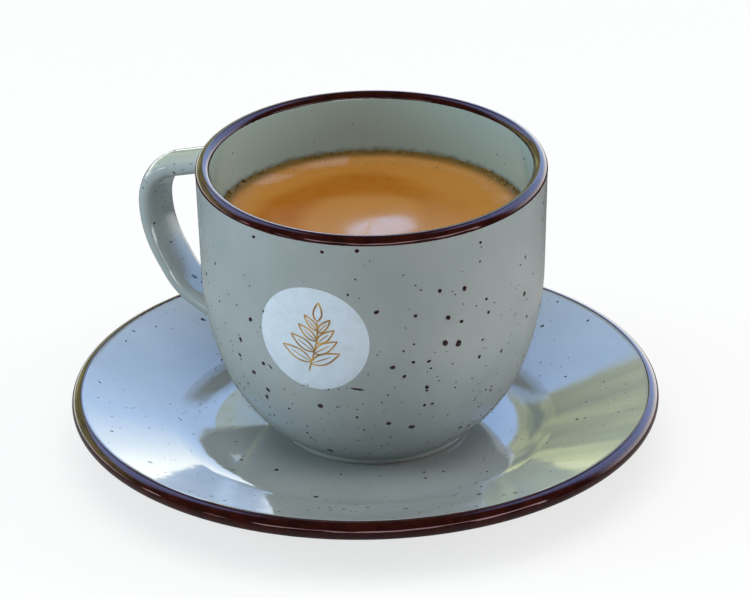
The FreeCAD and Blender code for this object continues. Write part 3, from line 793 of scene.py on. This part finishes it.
def burstHole(name):
    # burst bubbles: dark wet pits where the coffee shows through the foam
    material, tree = newMaterial(name)
    place = addNode(tree, "TexCoord").outputs["Object"]
    vary = addNode(tree, "TexNoise", {"Vector": place, "Scale": 1 / (4 * mm)})
    colour = addNode(tree, "Mix", {0: vary.outputs["Fac"], 6: hexColour(crema["hole"][0]),
                                   7: hexColour(crema["hole"][1])}, data_type="RGBA")
    shader = addNode(tree, "BsdfPrincipled", {"Base Color": colour.outputs[2], "Roughness": 0.2, "IOR": 1.34})
    addNode(tree, "OutputMaterial", {"Surface": shader.outputs[0]})
    return material


build = bmesh.new()
for _ in range(crema["pinholes"]):
    bearing = math.radians(crema["backBearing"]) + dice.gauss(0, 0.9)
    reach = cremaRadius - abs(dice.gauss(*crema["pinholeInset"])) * mm
    size = dice.uniform(0.1, 0.24) * mm
    addDome(build, onFoam(bearing, reach, -size * 0.15), size, 0.4, 2, 7)
meshPiece("foamPinholes", build, burstHole("burstBubbles"))


coffee = {
    "deep": "#170a04",
    "brown": "#2e1508",
    "cloudSize": 15 * mm,
}


def brewedCoffee(name):
    # brewed coffee under the foam: clear and nearly black in this depth, wet-looking, with slow brown clouds
    material, tree = newMaterial(name)
    place = addNode(tree, "TexCoord").outputs["Object"]
    cloud = addNode(tree, "TexNoise", {"Vector": place, "Scale": 1 / coffee["cloudSize"], "Detail": 2.0})
    colour = addNode(tree, "Mix", {0: cloud.outputs["Fac"], 6: hexColour(coffee["deep"]),
                                   7: hexColour(coffee["brown"])}, data_type="RGBA")
    shader = addNode(tree, "BsdfPrincipled", {"Base Color": colour.outputs[2], "Roughness": 0.05, "IOR": 1.34})
    addNode(tree, "OutputMaterial", {"Surface": shader.outputs[0]})
    return material


paintNode("coffee", brewedCoffee("brewedCoffee"))
paintNode("crema", foam.data.materials[0])
print("drink made")


view = {
    "target": (2.3 * mm, 1.67 * mm, 41.85 * mm),
    "distance": 1.80894,
    "azimuth": 36.0,
    "elevation": 26.463,
    "roll": -0.9006,
    "lens": 343.38,
    "sensor": 36,
    "clipEnd": 20,
}
azimuth, elevation = math.radians(view["azimuth"]), math.radians(view["elevation"])
levelForward = Vector((-math.sin(azimuth), math.cos(azimuth), 0))
rightward = Vector((math.cos(azimuth), math.sin(azimuth), 0))
forward = levelForward * math.cos(elevation) - upward * math.sin(elevation)
level = Matrix((rightward, rightward.cross(forward), -forward)).transposed()
turned = level @ Matrix.Rotation(math.radians(view["roll"]), 3, "Z")
camera = bpy.data.objects.new("studioCamera", bpy.data.cameras.new("studioCamera"))
bpy.context.scene.collection.objects.link(camera)
bpy.context.scene.camera = camera
camera.data.lens = view["lens"]
camera.data.sensor_width = view["sensor"]
camera.data.clip_end = view["clipEnd"]
camera.matrix_world = Matrix.Translation(Vector(view["target"]) - forward * view["distance"]) @ turned.to_4x4()

studio = {
    "floorSize": 6.0,
    "floor": "#f4f4f3",
    "floorMirrored": "#9d9d9b",  # the tone that glossy rays see near the object
    "floorDrop": 0.05 * mm,  # clear of the foot ring's own face
    "floorGlow": 0.7,  # how much of the floor by the object is plain backdrop; the rest takes its shadow
    "paleZone": (0.30, 0.60),  # where the floor fades into the backdrop
    "clearZone": (0.10, 0.16),  # where it gives way to the mirrored horizon
    "ambient": 0.44,
    "ambientTone": "#fbfdff",
    "boxAim": (0, 0, 0.05),
    "overhead": ((0.1, -0.25, 1.5), 1.4, 13),  # a soft box: place, size and power
    # soft boxes at the object's sides: right, back and up from it, size, power and tone
    "sides": {"leftBox": (-1.2, -0.10, 0.32, 0.6, 10.0, "#cfeeff"),
              "rightBox": (1.2, 0.05, 0.32, 0.6, 7.5, "#ffffff")},
}
build = bmesh.new()
bmesh.ops.create_grid(build, x_segments=1, y_segments=1, size=studio["floorSize"] / 2)
floorMesh = bpy.data.meshes.new("studioFloor")
build.to_mesh(floorMesh)
build.free()
studioFloor = bpy.data.objects.new("studioFloor", floorMesh)
studioFloor.location.z = -studio["floorDrop"]
bpy.context.scene.collection.objects.link(studioFloor)
floorMaterial, tree = newMaterial("paleStudioFloor")
place = addNode(tree, "TexCoord").outputs["Object"]
away = addNode(tree, "VectorMath", {0: place}, operation="LENGTH").outputs["Value"]
far = addNode(tree, "MapRange", {"Value": away, "From Min": studio["paleZone"][0], "From Max": studio["paleZone"][1]},
              interpolation_type="SMOOTHSTEP").outputs[0]
ray = addNode(tree, "LightPath")
tone = addNode(tree, "Mix", {0: ray.outputs["Is Glossy Ray"], 6: hexColour(studio["floor"]),
                             7: hexColour(studio["floorMirrored"])}, data_type="RGBA")
matt = addNode(tree, "BsdfDiffuse", {"Color": tone.outputs[2]})
glow = addNode(tree, "Emission", {"Color": (1, 1, 1, 1), "Strength": 1.0})
seenShare = addNode(tree, "MapRange", {"Value": far, "To Min": studio["floorGlow"], "To Max": 1.0})
seen = addNode(tree, "Math", {0: ray.outputs["Is Camera Ray"], 1: seenShare.outputs[0]}, operation="MULTIPLY")
seenFloor = addNode(tree, "MixShader", {0: seen.outputs[0], 1: matt.outputs[0], 2: glow.outputs[0]})
clear = addNode(tree, "BsdfTransparent")
cleared = addNode(tree, "MapRange", {"Value": away, "From Min": studio["clearZone"][0],
                                     "From Max": studio["clearZone"][1]})
mirrored = addNode(tree, "Math", {0: ray.outputs["Is Glossy Ray"], 1: cleared.outputs[0]}, operation="MULTIPLY")
below = addNode(tree, "NewGeometry").outputs["Backfacing"]
absent = addNode(tree, "Math", {0: mirrored.outputs[0], 1: below}, operation="MAXIMUM")
wholeFloor = addNode(tree, "MixShader", {0: absent.outputs[0], 1: seenFloor.outputs[0], 2: clear.outputs[0]})
addNode(tree, "OutputMaterial", {"Surface": wholeFloor.outputs[0]})
floorMesh.materials.append(floorMaterial)

mirror = {
    # what gloss shows: a white horizon that turns blue higher up behind the object, foliage low on its left, and a
    # dim room on the near side; each pair of edges is a soft edge, as a share of the full height or width
    "sky": [(0.42, "#eceeea"), (0.54, "#eef4f6"), (0.60, "#cfe1f8"), (0.67, "#a6caff"), (0.9, "#8ebcff")],
    "skyPower": (3.8, 4.7),
    "skyRise": (-0.05, 0.35),
    "leaf": [(0.38, "#5d6b55"), (0.48, "#98a673"), (0.56, "#c9d290"), (0.66, "#e6ecb6")],
    "leafPower": 2.3,
    "leafRagged": 0.05,
    "leafFoot": (-0.04, 0.0),
    "leafTop": (0.48, 0.53),
    "leafSide": (-0.02, 0.005),
    "room": "#6a625f",
    "roomPower": 0.16,
    "roomEdge": (0.0, 0.38),  # how far behind the object the room gives way to the outdoors
    "glintPower": 7.0,
    "glintSpots": (0.57, 0.61),
    "glintFoot": (-0.12, -0.06),
    "glintTop": (0.16, 0.26),
    "canopy": (0.2, 0.3),  # half the width of a dim canopy that hangs high behind the object
    "canopyFoot": (0.50, 0.56),
    "ground": "#4d4442",
    "groundTop": (-0.20, -0.10),
}
world = bpy.data.worlds.new("studioWorld")
bpy.context.scene.world = world
world.use_nodes = True
tree = world.node_tree
tree.nodes.clear()
ray = addNode(tree, "LightPath")
way = addNode(tree, "TexCoord").outputs["Generated"]
high = addNode(tree, "SeparateXYZ", {"Vector": way}).outputs["Z"]
behind, beside = (addNode(tree, "VectorMath", {0: way, 1: tuple(axis)}, operation="DOT_PRODUCT").outputs["Value"]
                  for axis in (levelForward, rightward))
apart = addNode(tree, "Math", {0: beside}, operation="ABSOLUTE").outputs[0]
tufts = addNode(tree, "TexNoise", {"Vector": way, "Scale": 9.0, "Detail": 5.0, "Roughness": 0.65,
                                   "Distortion": 0.4}).outputs["Fac"]
glints = addNode(tree, "TexNoise", {"Vector": way, "Scale": 3.2, "Detail": 0.0}).outputs["Fac"]
wavy = addNode(tree, "MapRange", {"Value": tufts, "To Min": -mirror["leafRagged"],
                                  "To Max": mirror["leafRagged"]}).outputs[0]
raised, shifted = (addNode(tree, "Math", {0: value, 1: wavy}, operation="ADD").outputs[0] for value in (high, beside))
halfway, skyPower, leafTop, leafFoot, leafAcross, glintSpots, glintFoot, glintTop, canopyOff, canopyFoot, ground = (
    addNode(tree, "MapRange", {"Value": value, "From Min": start, "From Max": end, "To Min": first,
                               "To Max": last}).outputs[0]
    for value, (start, end), first, last in (
        (high, (-1.0, 1.0), 0.0, 1.0), (high, mirror["skyRise"], *mirror["skyPower"]),
        (raised, mirror["leafTop"], 1.0, 0.0), (raised, mirror["leafFoot"], 0.0, 1.0),
        (shifted, mirror["leafSide"], 1.0, 0.0), (glints, mirror["glintSpots"], 0.0, 1.0),
        (high, mirror["glintFoot"], 0.0, 1.0), (high, mirror["glintTop"], 1.0, 0.0),
        (apart, mirror["canopy"], 0.0, 1.0), (raised, mirror["canopyFoot"], 1.0, 0.0),
        (high, mirror["groundTop"], 0.0, 1.0)))
outShare = addNode(tree, "MapRange", {"Value": behind, "From Min": mirror["roomEdge"][0],
                                      "From Max": mirror["roomEdge"][1]}, interpolation_type="SMOOTHSTEP").outputs[0]
openSky = addNode(tree, "Math", {0: canopyOff, 1: canopyFoot}, operation="MAXIMUM").outputs[0]
leafShare = addNode(tree, "Math", {0: leafTop, 1: leafFoot}, operation="MULTIPLY").outputs[0]
glintShare = addNode(tree, "Math", {0: glintFoot, 1: glintTop}, operation="MULTIPLY").outputs[0]
leafShare, glintShare, outShare = (
    addNode(tree, "Math", {0: share, 1: limit}, operation="MULTIPLY").outputs[0]
    for share, limit in ((leafShare, leafAcross), (glintShare, glintSpots), (outShare, openSky)))
sky = addNode(tree, "ValToRGB", {"Fac": halfway}, stops=mirror["sky"]).outputs[0]
leaf = addNode(tree, "ValToRGB", {"Fac": tufts}, stops=mirror["leaf"]).outputs[0]
skyLight, leafLight, roomLight, glintLight, groundLight, soft, white = (
    addNode(tree, "Background", {"Color": tone, "Strength": power}).outputs[0]
    for tone, power in ((sky, skyPower), (leaf, mirror["leafPower"]),
                        (hexColour(mirror["room"]), mirror["roomPower"]),
                        (hexColour("#ffffff"), mirror["glintPower"]), (hexColour(mirror["ground"]), 1.0),
                        (hexColour(studio["ambientTone"]), studio["ambient"]), (hexColour("#ffffff"), 1.0)))
outdoors = addNode(tree, "MixShader", {0: leafShare, 1: skyLight, 2: leafLight})
room = addNode(tree, "MixShader", {0: glintShare, 1: roomLight, 2: glintLight})
around = addNode(tree, "MixShader", {0: outShare, 1: room.outputs[0], 2: outdoors.outputs[0]})
mirrorWorld = addNode(tree, "MixShader", {0: ground, 1: groundLight, 2: around.outputs[0]})
lit = addNode(tree, "MixShader", {0: ray.outputs["Is Glossy Ray"], 1: soft, 2: mirrorWorld.outputs[0]})
whole = addNode(tree, "MixShader", {0: ray.outputs["Is Camera Ray"], 1: lit.outputs[0], 2: white})
addNode(tree, "OutputWorld", {"Surface": whole.outputs[0]})


def softBox(name, place, size, power, tone="#ffffff"):
    light = bpy.data.lights.new(name, "AREA")
    light.shape, light.size, light.energy = "SQUARE", size, power
    light.color = hexColour(tone)[:3]
    lamp = bpy.data.objects.new(name, light)
    lamp.location = place
    lamp.rotation_euler = (Vector(studio["boxAim"]) - lamp.location).to_track_quat("-Z", "Y").to_euler()
    lamp.visible_glossy = False
    lamp.visible_camera = False
    bpy.context.scene.collection.objects.link(lamp)


softBox("overheadBox", *studio["overhead"])
for name, (across, back, up, *looks) in studio["sides"].items():
    softBox(name, rightward * across + levelForward * back + upward * up, *looks)
bpy.context.scene.view_settings.view_transform = "Standard"
print("studio made")
